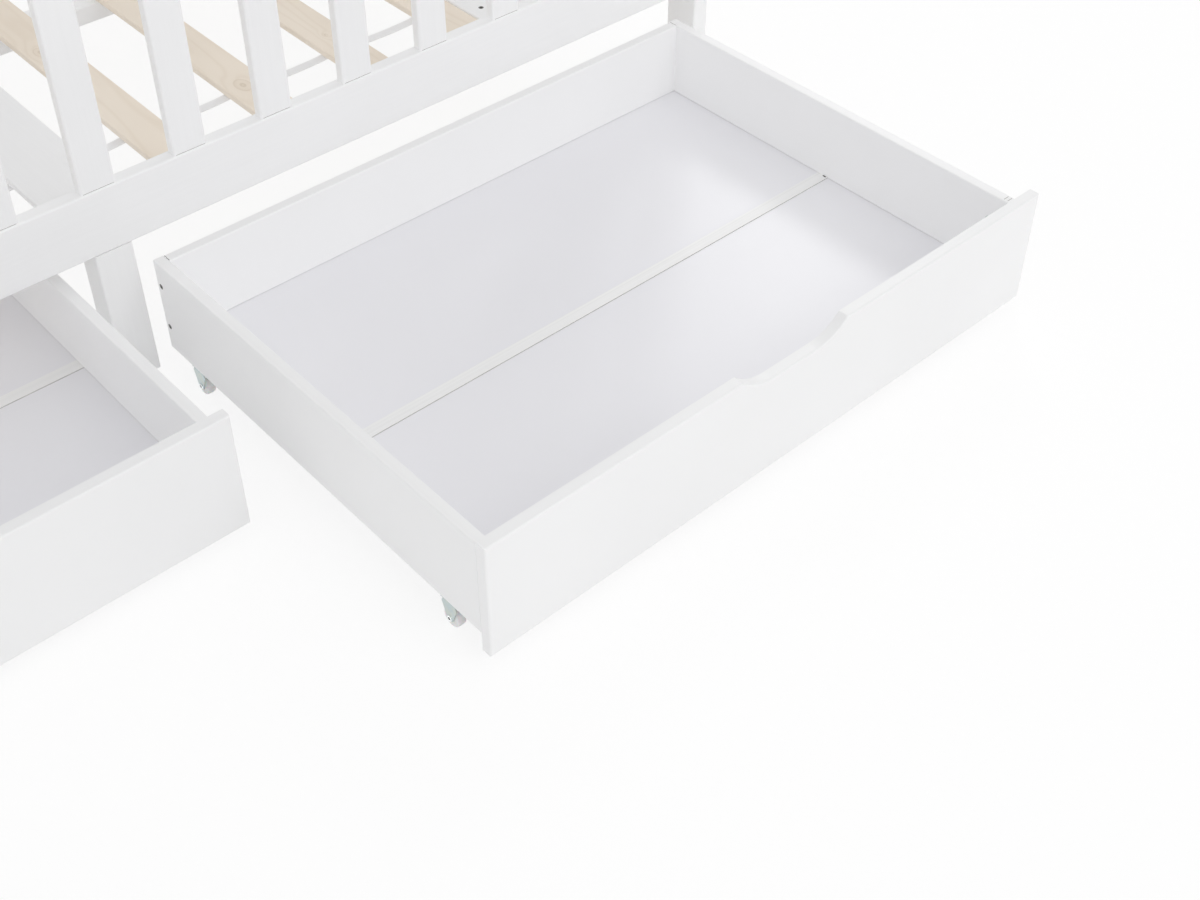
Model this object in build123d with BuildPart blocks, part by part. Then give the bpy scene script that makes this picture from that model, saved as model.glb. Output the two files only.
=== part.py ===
"""Storage bed: a painted wooden single bed with one slatted long side, two slatted ends,
a slatted base, and two loose drawers that roll out from under the slatted side.

Millimetres. The floor is Z = 0, +X runs along the bed, +Y from the drawer side to the far
side, and +Z is up. The origin is on the floor, at the middle of the part as it stands here,
with one drawer rolled right out and the other one half out.
"""

from build123d import *
from math import atan2, degrees, floor, radians, tan
import os

# Overall size of the bed frame
bed_length = 2028.0
bed_width = 1060.0
post_height = 820.0

# Corner posts and centre legs
post_thick = 28.0
post_deep = 59.0
post_round = 3.0
centre_leg_wide = 50.0
lap_thick = 20.0

# Long rails and end rails, all of the same board
rail_thick = 20.0
rail_high = 88.0
rail_bottom = 202.0
top_rail_high = 70.0
top_rail_drop = 10.0
rail_round = 3.0
end_tenon_long = 20.0
end_tenon_thick = 10.0
tenon_shoulder = 10.0

# Upright slats of the long side and the ends
upright_wide = 46.0
upright_thick = 15.0
upright_round = 3.0
upright_pitch = 123.8
upright_end_gap = 60.0
tenon_wide = 34.0
tenon_thick = 9.0
tenon_long = 12.0
tenon_gap = 0.2

# Bed base: ledgers, centre beam, pine slats, painted tie boards and ribbons
ledger_thick = 18.0
ledger_high = 28.0
ledger_raise = 3.0
ledger_end_gap = 1.0
beam_wide = 46.0
beam_lap = 14.0
beam_chamfer = 1.5
cleat_long = 200.0
cleat_thick = 20.0
cleat_gap = 1.0
slat_wide = 57.0
slat_thick = 10.0
slat_round = 2.0
slat_rail_gap = 4.0
slat_post_gap = 4.0
slat_first = 136.0
slat_pitch = 156.4
slats_before_tie = 4
tie_wide = 94.0
tie_screw_in = 89.0
tie_screw_apart = 50.0
block_wide = 80.0
block_long = 90.0
ribbon_wide = 15.0
ribbon_thick = 0.8
ribbon_in = 140.0
spigot_radius = 10.0
spigot_long = 12.0

# Bolts with barrel nuts, and wood screws
bolt_radius = 3.0
bolt_long = 75.0
bolt_head_radius = 6.0
bolt_head_high = 4.0
bolt_head_chamfer = 0.6
bolt_socket = 2.3
bolt_edge = 22.0
bolt_clear = 0.2
nut_radius = 5.0
nut_long = 14.0
nut_from_end = 40.0
screw_radius = 2.0
screw_head_radius = 3.8
screw_head_angle = 82.0
screw_long = 30.0
screw_tip = 3.0
screw_clear = 0.1
ledger_screw_in = 80.0
leg_screw_apart = 24.0

# Drawers: panels
drawer_deep = 642.0
drawer_play = 41.0
front_clear = 12.0
front_gap = 21.0
front_longer = 28.0
board = 15.0
front_round = 2.5
front_back_round = 1.0
side_round = 2.0
side_drop = 3.0
side_bottom = 40.0
panel_thick = 3.0
panel_top = 65.0
groove_deep = 6.0
groove_gap = 0.1
groove_over = 0.8
panel_play = 0.5
strip_wide = 18.0
strip_flange = 1.0
strip_web = 2.0
notch_wide = 176.0
notch_flat = 76.0
notch_deep = 21.5
notch_corner_round = 3.0
gap_right_drawer = 12.0
gap_left_drawer = 20.0

# Drawers: how far each box starts from the left end of its front
box_in_right_drawer = 0.0
box_in_left_drawer = 11.0

# Drawers: the right one is rolled clear of the rail by its gap, the left one half out
out_gap_right_drawer = 19.0
pull_left = 323.0

# Drawer fittings
side_screw_low = 77.0
side_screw_high = 141.0
cam_radius = 7.5
cam_deep = 12.0
cam_from_front = 24.0
cam_clear = 0.1
cam_bolt_radius = 3.0
cam_bolt_bite = 9.0
cam_low = 85.0
cam_high = 138.0

# Casters
wheel_radius = 13.5
wheel_wide = 11.4
wheel_crown = 0.5
wheel_chamfer = 0.8
hub_gap = 0.4
hub_wall = 2.5
hub_slope = 1.0
axle_radius = 2.5
axle_gap = 0.05
axle_head_radius = 4.0
axle_head_high = 0.9
axle_head_slope = 1.0
bracket_sheet = 1.2
bracket_long = 32.0
bracket_corner_round = 2.0
bracket_leg_long = 26.0
bracket_leg_neck = 21.0
bracket_shoulder_high = 5.0
bracket_tip_radius = 5.4
caster_front = 71.0
caster_back = 579.0

# Places that follow from the sizes
post_in = bed_length / 2 - post_thick
rail_top = rail_bottom + rail_high
top_rail_top = post_height - top_rail_drop
top_rail_bottom = top_rail_top - top_rail_high
ledger_bottom = rail_bottom + ledger_raise
ledger_top = ledger_bottom + ledger_high
base_top = ledger_top + slat_thick
bay_long = post_in - centre_leg_wide / 2
drawer_long = bay_long - drawer_play
box_long = drawer_long - front_longer
front_high = rail_bottom - front_gap - front_clear
pull_right = drawer_deep + out_gap_right_drawer
bed_front = (pull_right - bed_width) / 2
bed_back = bed_front + bed_width
bed_middle = bed_front + bed_width / 2
front_top = front_clear + front_high
side_top = front_top - side_drop
groove_high = groove_gap + panel_thick + groove_over
groove_middle = panel_top + groove_over - groove_high / 2
screw_head_high = (screw_head_radius - screw_radius) / tan(radians(screw_head_angle / 2))
bolt_in_rail = bolt_long - post_thick + 2 * bolt_clear

os.makedirs("parts", exist_ok=True)


def depth_at(side, depth):
    """Y of a plane that lies depth inside the front face (side -1) or the back face (side 1)."""
    return bed_front + depth if side < 0 else bed_back - depth


def inward_planes(side, depth, places, z):
    """Planes on a face that looks into the bed, at each X in places."""
    return [Plane(origin=(x, depth_at(side, depth), z), z_dir=(0, -side, 0)) for x in places]


def screw_holes(planes, through):
    """Countersunk clearance holes through a board, from the planes the screws go in at."""
    with Locations(*planes):
        CounterSinkHole(
            screw_radius + screw_clear,
            screw_head_radius + screw_clear,
            through,
            screw_head_angle,
        )


def pilot_holes(planes, depth):
    """Plain blind holes for the ends of the screws, from the face that they enter by."""
    with Locations(*planes):
        Hole(screw_radius + screw_clear, depth + screw_clear)


def board_between(low, high):
    """A plain board from one corner to the opposite one, added to the part being made."""
    middle = [(a + b) / 2 for a, b in zip(low, high)]
    size = [b - a for a, b in zip(low, high)]
    with Locations(tuple(middle)):
        Box(*size)


def save(piece, name):
    """Name a finished piece and write it as one STEP file."""
    piece.part.label = name
    export_step(piece.part, f"parts/{name}.step")


# Upright slats: how many, and where
def upright_places(half_span):
    """Centres of the upright slats along a rail, spaced evenly from the middle outwards."""
    each_way = floor((half_span - upright_wide / 2 - upright_end_gap) / upright_pitch)
    return [upright_pitch * n for n in range(-each_way, each_way + 1)]


long_side_places = upright_places(post_in)
end_half_span = bed_width / 2 - post_deep
end_count = round((2 * end_half_span - upright_wide) / upright_pitch)
end_pitch = (2 * end_half_span + upright_wide) / (end_count + 1)
end_places = [end_pitch * (n - (end_count - 1) / 2) for n in range(end_count)]
upright_high = top_rail_bottom - rail_top

# Pine slats: the same spacing each side of the middle
slat_places = []
place = slat_first
while place + slat_wide / 2 < post_in - slat_post_gap:
    slat_places += [-place, place]
    place += slat_pitch
tie_place = slat_first + (slats_before_tie - 0.5) * slat_pitch

# Bolts: two in each end of the long rails, one in each end of the top rail
rail_bolts = [rail_bottom + bolt_edge, rail_top - bolt_edge]
top_bolts = [(top_rail_bottom + top_rail_top) / 2]

# Screws: three in each ledger and two in each front or back centre leg
ledger_from = centre_leg_wide / 2 + ledger_end_gap
ledger_to = post_in - ledger_end_gap
ledger_middle = ledger_bottom + ledger_high / 2
ledger_screws = [
    end * x
    for end in (-1, 1)
    for x in (ledger_from + ledger_screw_in, (ledger_from + ledger_to) / 2, ledger_to - ledger_screw_in)
]
leg_screws = [-leg_screw_apart / 2, leg_screw_apart / 2]


def corner_post(end, side, bolts):
    """A corner post, with mortises for the end rails and holes for the long side's bolts."""
    y_face = depth_at(side, post_deep)
    with BuildPart() as post:
        with BuildSketch():
            with Locations((end * (post_in + post_thick / 2), depth_at(side, post_deep / 2))):
                RectangleRounded(post_thick, post_deep, post_round)
        extrude(amount=post_height)
        chamfer(post.faces().sort_by(Axis.Z)[-1].edges(), post_round / 2)
        for z_low, high in ((rail_bottom, rail_high), (top_rail_bottom, top_rail_high)):
            with Locations((end * (post_in + post_thick / 2), y_face, z_low + high / 2)):
                Box(
                    end_tenon_thick + tenon_gap,
                    2 * (end_tenon_long + tenon_gap),
                    high - 2 * tenon_shoulder + tenon_gap,
                    mode=Mode.SUBTRACT,
                )
        for z in bolts:
            outside = Plane(
                origin=(end * bed_length / 2, depth_at(side, rail_thick / 2), z), z_dir=(end, 0, 0)
            )
            with Locations(outside):
                CounterBoreHole(
                    bolt_radius + bolt_clear,
                    bolt_head_radius + bolt_clear,
                    bolt_head_high,
                    post_thick,
                )
    return post


for end, end_name in ((-1, "left"), (1, "right")):
    for side, side_name in ((-1, "front"), (1, "back")):
        heights = rail_bolts + top_bolts if side < 0 else rail_bolts
        save(corner_post(end, side, heights), f"post_{side_name}_{end_name}")


def long_rail(side, z_low, high, bolts):
    """A board along the bed between two posts, drilled for bolts and barrel nuts."""
    with BuildPart() as rail:
        with BuildSketch(Plane.YZ.offset(-post_in)):
            with Locations((depth_at(side, rail_thick / 2), z_low + high / 2)):
                RectangleRounded(rail_thick, high, rail_round)
        extrude(amount=2 * post_in)
        for end in (-1, 1):
            for z in bolts:
                mouth = (end * post_in, depth_at(side, rail_thick / 2), z)
                with Locations(Plane(origin=mouth, z_dir=(end, 0, 0))):
                    Hole(bolt_radius + bolt_clear, bolt_in_rail)
                nut_x = end * (post_in - nut_from_end)
                with Locations(*inward_planes(side, rail_thick, [nut_x], z)):
                    Hole(nut_radius + bolt_clear / 2, (rail_thick + nut_long) / 2)
    return rail


def cut_mortises(rail, z_face):
    """Cut a long rail's mortises for the upright slats, in its face at z_face."""
    with BuildPart() as cut:
        add(rail.part)
        for x in long_side_places:
            with Locations((x, depth_at(-1, rail_thick / 2), z_face)):
                Box(
                    tenon_wide + tenon_gap,
                    tenon_thick + tenon_gap,
                    2 * (tenon_long + tenon_gap),
                    mode=Mode.SUBTRACT,
                )
    return cut


def drill_for_base(rail, side):
    """Drill a side rail's blind holes for the screws of its ledgers and centre leg."""
    with BuildPart() as drilled:
        add(rail.part)
        pilot_holes(
            inward_planes(side, rail_thick, ledger_screws, ledger_middle),
            screw_long - ledger_thick,
        )
        pilot_holes(
            inward_planes(side, rail_thick, leg_screws, ledger_middle),
            screw_long - lap_thick,
        )
    return drilled


front_rail = cut_mortises(long_rail(-1, rail_bottom, rail_high, rail_bolts), rail_top)
save(drill_for_base(front_rail, -1), "front_side_rail")
save(drill_for_base(long_rail(1, rail_bottom, rail_high, rail_bolts), 1), "back_side_rail")
top_rail = long_rail(-1, top_rail_bottom, top_rail_high, top_bolts)
save(cut_mortises(top_rail, top_rail_bottom), "front_top_rail")


def end_rail(end, z_low, high, slat_face):
    """A board across one end, tenoned into its two posts and mortised for the uprights."""
    x_mid = end * (post_in + post_thick / 2)
    with BuildPart() as rail:
        with BuildSketch(Plane.XZ.offset(-(bed_middle - end_half_span))):
            with Locations((x_mid, z_low + high / 2)):
                RectangleRounded(rail_thick, high, rail_round)
        extrude(amount=-2 * end_half_span)
        with Locations((x_mid, bed_middle, z_low + high / 2)):
            Box(
                end_tenon_thick,
                2 * (end_half_span + end_tenon_long),
                high - 2 * tenon_shoulder,
            )
        for y in end_places:
            with Locations((x_mid, bed_middle + y, slat_face)):
                Box(
                    tenon_thick + tenon_gap,
                    tenon_wide + tenon_gap,
                    2 * (tenon_long + tenon_gap),
                    mode=Mode.SUBTRACT,
                )
    return rail


def uprights(places, along_x, x_mid, y_mid):
    """A row of upright slats with a stub tenon at each end, each slat its own solid."""
    wide, thick = (upright_wide, upright_thick) if along_x else (upright_thick, upright_wide)
    t_wide, t_thick = (tenon_wide, tenon_thick) if along_x else (tenon_thick, tenon_wide)
    spots = [(p, 0) if along_x else (0, p) for p in places]
    with BuildPart() as row:
        with BuildSketch(Plane.XY.offset(rail_top)):
            with Locations((x_mid, y_mid)):
                with Locations(*spots):
                    RectangleRounded(wide, thick, upright_round)
        extrude(amount=upright_high)
        with BuildSketch(Plane.XY.offset(rail_top - tenon_long)):
            with Locations((x_mid, y_mid)):
                with Locations(*spots):
                    Rectangle(t_wide, t_thick)
        extrude(amount=upright_high + 2 * tenon_long)
    return row


save(
    uprights(long_side_places, True, 0, depth_at(-1, rail_thick / 2)),
    "front_upright_slats",
)
for end, end_name in ((-1, "left"), (1, "right")):
    save(end_rail(end, rail_bottom, rail_high, rail_top), f"{end_name}_end_bottom_rail")
    save(end_rail(end, top_rail_bottom, top_rail_high, top_rail_bottom), f"{end_name}_end_top_rail")
    save(
        uprights(end_places, False, end * (post_in + post_thick / 2), bed_middle),
        f"{end_name}_end_upright_slats",
    )


# Centre legs: the front and back ones lap behind their rail and carry the ledgers' ends
def centre_leg(side):
    """A centre leg whose thinner upper part stands behind the long rail."""
    with BuildPart() as leg:
        with BuildSketch(Plane.YZ.offset(-centre_leg_wide / 2)):
            with BuildLine():
                Polyline(
                    (depth_at(side, 0), 0),
                    (depth_at(side, rail_thick + lap_thick), 0),
                    (depth_at(side, rail_thick + lap_thick), ledger_top),
                    (depth_at(side, rail_thick), ledger_top),
                    (depth_at(side, rail_thick), rail_bottom),
                    (depth_at(side, 0), rail_bottom),
                    close=True,
                )
            make_face()
        extrude(amount=centre_leg_wide)
        outer = leg.edges().filter_by(Axis.Z).filter_by_position(
            Axis.Y, depth_at(side, 0) - 1, depth_at(side, 0) + 1
        )
        fillet(outer, post_round)
        screw_holes(
            inward_planes(side, rail_thick + lap_thick, leg_screws, ledger_middle), lap_thick
        )
    return leg


save(centre_leg(-1), "centre_leg_front")
save(centre_leg(1), "centre_leg_back")

with BuildPart() as middle_leg:
    with BuildSketch():
        with Locations((0, bed_middle)):
            RectangleRounded(centre_leg_wide, rail_thick + lap_thick, post_round)
    extrude(amount=ledger_bottom)
    with BuildSketch(Plane.XY.offset(ledger_bottom)):
        with Locations((0, bed_middle)):
            Circle(spigot_radius)
    extrude(amount=spigot_long)
save(middle_leg, "centre_leg_middle")

# Centre beam: lapped over a cleat at each end, with a blind hole for the middle leg's spigot
beam_end = post_in + (post_thick - rail_thick) / 2
with BuildPart() as centre_beam:
    with Locations((0, bed_middle, ledger_bottom + ledger_high / 2)):
        Box(2 * beam_end, beam_wide, ledger_high)
    chamfer(centre_beam.edges().filter_by(Axis.X), beam_chamfer)
    for end in (-1, 1):
        with Locations((end * beam_end, bed_middle, ledger_bottom)):
            Box(2 * (cleat_thick + cleat_gap), beam_wide, 2 * beam_lap, mode=Mode.SUBTRACT)
    with Locations((0, bed_middle, ledger_bottom)):
        Cylinder(spigot_radius + tenon_gap, 2 * (spigot_long + tenon_gap), mode=Mode.SUBTRACT)
save(centre_beam, "centre_beam")

with BuildPart() as beam_cleats:
    for end in (-1, 1):
        with Locations((end * (beam_end - cleat_thick / 2), bed_middle, ledger_bottom + beam_lap / 2)):
            Box(cleat_thick, cleat_long, beam_lap)
save(beam_cleats, "beam_end_cleats")


# Ledgers: one each side of the centre leg, screwed to the long rail, with the slats on top
def ledgers(side):
    """The two ledgers of one long side."""
    with BuildPart() as pair:
        for end in (-1, 1):
            with Locations(
                (
                    end * (ledger_from + ledger_to) / 2,
                    depth_at(side, rail_thick + ledger_thick / 2),
                    ledger_middle,
                )
            ):
                Box(ledger_to - ledger_from, ledger_thick, ledger_high)
        screw_holes(
            inward_planes(side, rail_thick + ledger_thick, ledger_screws, ledger_middle),
            ledger_thick,
        )
    return pair


save(ledgers(-1), "front_ledgers")
save(ledgers(1), "back_ledgers")

# Pine slats, loose on the ledgers and the beam, linked by two ribbons under them
slat_long = bed_width - 2 * rail_thick - 2 * slat_rail_gap
with BuildPart() as pine_slats:
    with BuildSketch(Plane.XZ.offset(-(bed_middle - slat_long / 2))):
        with Locations(*[(x, ledger_top + slat_thick / 2) for x in slat_places]):
            RectangleRounded(slat_wide, slat_thick, slat_round)
    extrude(amount=-slat_long)
save(pine_slats, "pine_slats")

ribbon_long = 2 * max(slat_places) + slat_wide
ribbon_depth = rail_thick + ribbon_in
with BuildPart() as slat_ribbons:
    for side in (-1, 1):
        with Locations((0, depth_at(side, ribbon_depth), ledger_top - ribbon_thick / 2)):
            Box(ribbon_long, ribbon_wide, ribbon_thick)
save(slat_ribbons, "slat_ribbons")

# Painted tie boards across the bed, screwed down into blocks behind the ledgers
tie_places = [-tie_place, 0, tie_place]
tie_screws = [
    Plane(origin=(x + offset, depth_at(side, rail_thick + tie_screw_in), base_top))
    for x in (-tie_place, tie_place)
    for offset in (-tie_screw_apart / 2, tie_screw_apart / 2)
    for side in (-1, 1)
]
with BuildPart() as tie_boards:
    with BuildSketch(Plane.XZ.offset(-(bed_middle - slat_long / 2))):
        with Locations(*[(x, ledger_top + slat_thick / 2) for x in tie_places]):
            RectangleRounded(tie_wide, slat_thick, slat_round)
    extrude(amount=-slat_long)
    screw_holes(tie_screws, slat_thick)
save(tie_boards, "tie_boards")

block_near = rail_thick + ledger_thick
with BuildPart() as tie_board_blocks:
    for x in (-tie_place, tie_place):
        for side in (-1, 1):
            with Locations(
                (x, depth_at(side, block_near + block_long / 2), ledger_bottom + ledger_high / 2)
            ):
                Box(block_wide, block_long, ledger_high)
    pilot_holes([plane.offset(-slat_thick) for plane in tie_screws], screw_long - slat_thick)
save(tie_board_blocks, "tie_board_blocks")

# Fasteners of the frame
with BuildPart() as bolt:
    with BuildSketch(Plane.XZ):
        with BuildLine():
            Polyline(
                (0, 0),
                (bolt_head_radius - bolt_head_chamfer, 0),
                (bolt_head_radius, -bolt_head_chamfer),
                (bolt_head_radius, -bolt_head_high),
                (bolt_radius, -bolt_head_high),
                (bolt_radius, -bolt_long),
                (0, -bolt_long),
                close=True,
            )
        make_face()
    revolve(axis=Axis.Z)
    with BuildSketch(Plane.XY):
        RegularPolygon(radius=bolt_socket, side_count=6)
    extrude(amount=-bolt_socket, mode=Mode.SUBTRACT)

bolt_places = [
    (end, side, z)
    for end in (-1, 1)
    for side, heights in ((-1, rail_bolts + top_bolts), (1, rail_bolts))
    for z in heights
]
with BuildPart() as frame_bolts:
    for end, side, z in bolt_places:
        seat = Plane(
            origin=(end * bed_length / 2, depth_at(side, rail_thick / 2), z), z_dir=(end, 0, 0)
        )
        with Locations(seat):
            add(bolt.part)
save(frame_bolts, "frame_bolts")

with BuildPart() as barrel_nuts:
    for end, side, z in bolt_places:
        nut = Plane(
            origin=(end * (post_in - nut_from_end), depth_at(side, rail_thick / 2), z),
            z_dir=(0, 1, 0),
        )
        with Locations(nut):
            Cylinder(nut_radius, nut_long)
    for end, side, z in bolt_places:
        with Locations(
            Plane(
                origin=(end * (post_in - nut_from_end), depth_at(side, rail_thick / 2), z),
                z_dir=(1, 0, 0),
            )
        ):
            Cylinder(bolt_radius + bolt_clear / 2, 4 * nut_radius, mode=Mode.SUBTRACT)
save(barrel_nuts, "barrel_nuts")


def screw_at(planes):
    """Countersunk wood screws, heads flush with the planes they are driven in at."""
    with BuildPart() as one:
        with BuildSketch(Plane.XZ):
            with BuildLine():
                Polyline(
                    (0, 0),
                    (screw_head_radius, 0),
                    (screw_radius, -screw_head_high),
                    (screw_radius, screw_tip - screw_long),
                    (0, -screw_long),
                    close=True,
                )
            make_face()
        revolve(axis=Axis.Z)
    with BuildPart() as several:
        with Locations(*planes):
            add(one.part)
    return several


frame_screw_planes = list(tie_screws)
for side in (-1, 1):
    frame_screw_planes += inward_planes(
        side, rail_thick + ledger_thick, ledger_screws, ledger_middle
    )
    frame_screw_planes += inward_planes(side, rail_thick + lap_thick, leg_screws, ledger_middle)
save(screw_at(frame_screw_planes), "frame_screws")


# Drawers
def drawer_front(x_left, x_box, y_face):
    """The drawer front, with the finger notch in its top edge and a groove behind."""
    x_mid = x_left + drawer_long / 2
    ends = [x_mid + end * notch_wide / 2 for end in (-1, 1)]
    feet = [x_mid + end * notch_flat / 2 for end in (-1, 1)]
    notch_bottom = front_top - notch_deep
    with BuildPart() as front:
        with BuildSketch(Plane.XZ.offset(-y_face)) as outline:
            with BuildLine():
                Polyline(
                    (ends[0], front_top),
                    (x_left, front_top),
                    (x_left, front_clear),
                    (x_left + drawer_long, front_clear),
                    (x_left + drawer_long, front_top),
                    (ends[1], front_top),
                )
                TangentArc((feet[1], notch_bottom), (ends[1], front_top), tangent=(1, 0))
                Line((feet[1], notch_bottom), (feet[0], notch_bottom))
                TangentArc((feet[0], notch_bottom), (ends[0], front_top), tangent=(-1, 0))
            make_face()
            corners = [
                corner
                for corner in outline.vertices()
                if min(abs(corner.X - end) for end in ends) < notch_corner_round
            ]
            fillet(corners, notch_corner_round)
        extrude(amount=-board)
        faces = front.faces().filter_by(Axis.Y)
        fillet(faces.sort_by(Axis.Y)[0].outer_wire().edges(), front_round)
        back_face = front.faces().filter_by(Axis.Y).sort_by(Axis.Y)[-1]
        fillet(back_face.edges().filter_by(Axis.Z), front_back_round)
        groove = box_long - 2 * (board - groove_deep)
        with Locations((x_box + box_long / 2, y_face + board, groove_middle)):
            Box(groove, 2 * groove_deep, groove_high, mode=Mode.SUBTRACT)
        for x in (x_box + board / 2, x_box + box_long - board / 2):
            for z in (cam_low, cam_high):
                with Locations(Plane(origin=(x, y_face + board, z), z_dir=(0, 1, 0))):
                    Hole(cam_bolt_radius + cam_clear, cam_bolt_bite + cam_clear)
    return front


def side_screws(x_box, y_face, right):
    """Planes where one side's screws go in, on its outer face opposite the drawer's back."""
    x, outward = (x_box + box_long, 1) if right else (x_box, -1)
    y = y_face + drawer_deep - board / 2
    return [
        Plane(origin=(x, y, z), z_dir=(outward, 0, 0)) for z in (side_screw_low, side_screw_high)
    ]


def drawer_side(x_box, y_face, right):
    """A drawer side: grooved for the bottom, drilled for the back's screws and the cams."""
    x_low = x_box + (box_long - board if right else 0)
    inner = x_low if right else x_low + board
    inward = -1 if right else 1
    y_low, y_high = y_face + board, y_face + drawer_deep
    with BuildPart() as side:
        board_between((x_low, y_low, side_bottom), (x_low + board, y_high, side_top))
        fillet(side.faces().sort_by(Axis.Z)[-1].edges().filter_by(Axis.Y), side_round)
        with Locations((inner, (y_low + y_high - board) / 2, groove_middle)):
            Box(
                2 * groove_deep,
                y_high - y_low + board,
                groove_high,
                mode=Mode.SUBTRACT,
            )
        for z in (cam_low, cam_high):
            with Locations(
                Plane(origin=(inner, y_low + cam_from_front, z), z_dir=(inward, 0, 0))
            ):
                Hole(cam_radius + cam_clear, cam_deep)
            with Locations(Plane(origin=(x_low + board / 2, y_low, z), z_dir=(0, -1, 0))):
                Hole(cam_bolt_radius + cam_clear, cam_from_front)
        screw_holes(side_screws(x_box, y_face, right), board)
    return side


def drawer_back(x_box, y_face):
    """The drawer back, between the sides."""
    y_high = y_face + drawer_deep
    with BuildPart() as back:
        board_between(
            (x_box + board, y_high - board, side_bottom),
            (x_box + box_long - board, y_high, side_top),
        )
        fillet(back.faces().sort_by(Axis.Z)[-1].edges().filter_by(Axis.X), side_round)
        with Locations((x_box + box_long / 2, y_high - board, groove_middle)):
            Box(box_long, 2 * groove_deep, groove_high, mode=Mode.SUBTRACT)
        for right in (False, True):
            planes = side_screws(x_box, y_face, right)
            pilot_holes([plane.offset(-board) for plane in planes], screw_long - board)
    return back


def drawer_bottoms(x_box, y_face):
    """The two thin bottom panels and the H-shaped strip that joins them along the middle."""
    in_groove = board - groove_deep + panel_play
    x_low, x_high = x_box + in_groove, x_box + box_long - in_groove
    y_low, y_high = y_face + in_groove, y_face + drawer_deep - in_groove
    y_mid = y_face + drawer_deep / 2
    web = strip_web / 2
    with BuildPart() as front_panel:
        board_between((x_low, y_low, panel_top - panel_thick), (x_high, y_mid - web, panel_top))
    with BuildPart() as back_panel:
        board_between((x_low, y_mid + web, panel_top - panel_thick), (x_high, y_high, panel_top))
    with BuildPart() as strip:
        with BuildSketch(Plane.YZ.offset(x_box + board)):
            with Locations((y_mid, panel_top - panel_thick / 2)):
                Rectangle(strip_web, panel_thick)
            with Locations(
                (y_mid, panel_top + strip_flange / 2),
                (y_mid, panel_top - panel_thick - strip_flange / 2),
            ):
                Rectangle(strip_wide, strip_flange)
        extrude(amount=box_long - 2 * board)
    return front_panel, back_panel, strip


def drawer_cams(x_box, y_face):
    """Cams in the sides, each with the bolt that draws the front against the side's end."""
    y_low = y_face + board
    with BuildPart() as cams:
        for right in (False, True):
            x_low = x_box + (box_long - board if right else 0)
            inner = x_low if right else x_low + board
            inward = -1 if right else 1
            for z in (cam_low, cam_high):
                with Locations((inner - inward * cam_deep / 2, y_low + cam_from_front, z)):
                    Cylinder(cam_radius, cam_deep, rotation=(0, 90, 0))
                bolt_middle = y_low + (cam_from_front - cam_bolt_bite) / 2
                with Locations((x_low + board / 2, bolt_middle, z)):
                    Cylinder(
                        cam_bolt_radius, cam_from_front + cam_bolt_bite, rotation=(90, 0, 0)
                    )
    return cams


caster_spots = [
    ("front_left", False, caster_front),
    ("front_right", True, caster_front),
    ("back_left", False, caster_back),
    ("back_right", True, caster_back),
]


def caster_bracket(x_low, y_axle):
    """A pressed-steel fork: a top plate and two legs that taper to a round tip."""
    plate_under = side_bottom - bracket_sheet
    with BuildPart() as bracket:
        with BuildSketch(Plane.XY.offset(plate_under)):
            with Locations((x_low + board / 2, y_axle)):
                RectangleRounded(board, bracket_long, bracket_corner_round)
        extrude(amount=bracket_sheet)
        for x in (x_low, x_low + board - bracket_sheet):
            with BuildSketch(Plane.YZ.offset(x)):
                with Locations((y_axle, plate_under - bracket_shoulder_high / 2)):
                    Trapezoid(
                        bracket_leg_long,
                        bracket_shoulder_high,
                        degrees(atan2(2 * bracket_shoulder_high, bracket_leg_long - bracket_leg_neck)),
                    )
                with Locations((y_axle, wheel_radius)):
                    Circle(bracket_tip_radius)
                make_hull()
                with Locations((y_axle, wheel_radius)):
                    Circle(axle_radius, mode=Mode.SUBTRACT)
            extrude(amount=bracket_sheet)
    return bracket


def caster_axle(x_low, y_axle):
    """A rivet with a head against the outside of each leg."""
    with BuildPart() as axle:
        with BuildSketch(Plane.XZ.offset(-y_axle)):
            with BuildLine():
                Polyline(
                    (x_low - axle_head_high, wheel_radius),
                    (x_low - axle_head_high, wheel_radius + axle_head_radius - axle_head_slope),
                    (x_low, wheel_radius + axle_head_radius),
                    (x_low, wheel_radius + axle_radius),
                    (x_low + board, wheel_radius + axle_radius),
                    (x_low + board, wheel_radius + axle_head_radius),
                    (x_low + board + axle_head_high, wheel_radius + axle_head_radius - axle_head_slope),
                    (x_low + board + axle_head_high, wheel_radius),
                    close=True,
                )
            make_face()
        revolve(axis=Axis((x_low, y_axle, wheel_radius), (1, 0, 0)))
    return axle


def caster_wheel(x_low, y_axle):
    """A small plastic wheel with a crowned tread and a hub that keeps it off the legs."""
    mid = x_low + board / 2
    half = wheel_wide / 2
    hub_half = board / 2 - bracket_sheet - hub_gap
    bore = wheel_radius + axle_radius + axle_gap
    hub = wheel_radius + axle_radius + hub_wall
    rim = 2 * wheel_radius - wheel_crown
    with BuildPart() as wheel:
        with BuildSketch(Plane.XZ.offset(-y_axle)):
            with BuildLine():
                Polyline(
                    (mid + half - wheel_chamfer, rim),
                    (mid + half, rim - wheel_chamfer),
                    (mid + half, hub + hub_slope),
                    (mid + hub_half, hub),
                    (mid + hub_half, bore),
                    (mid - hub_half, bore),
                    (mid - hub_half, hub),
                    (mid - half, hub + hub_slope),
                    (mid - half, rim - wheel_chamfer),
                    (mid - half + wheel_chamfer, rim),
                )
                ThreePointArc(
                    (mid - half + wheel_chamfer, rim),
                    (mid, 2 * wheel_radius),
                    (mid + half - wheel_chamfer, rim),
                )
            make_face()
        revolve(axis=Axis((mid, y_axle, wheel_radius), (1, 0, 0)))
    return wheel


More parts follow.
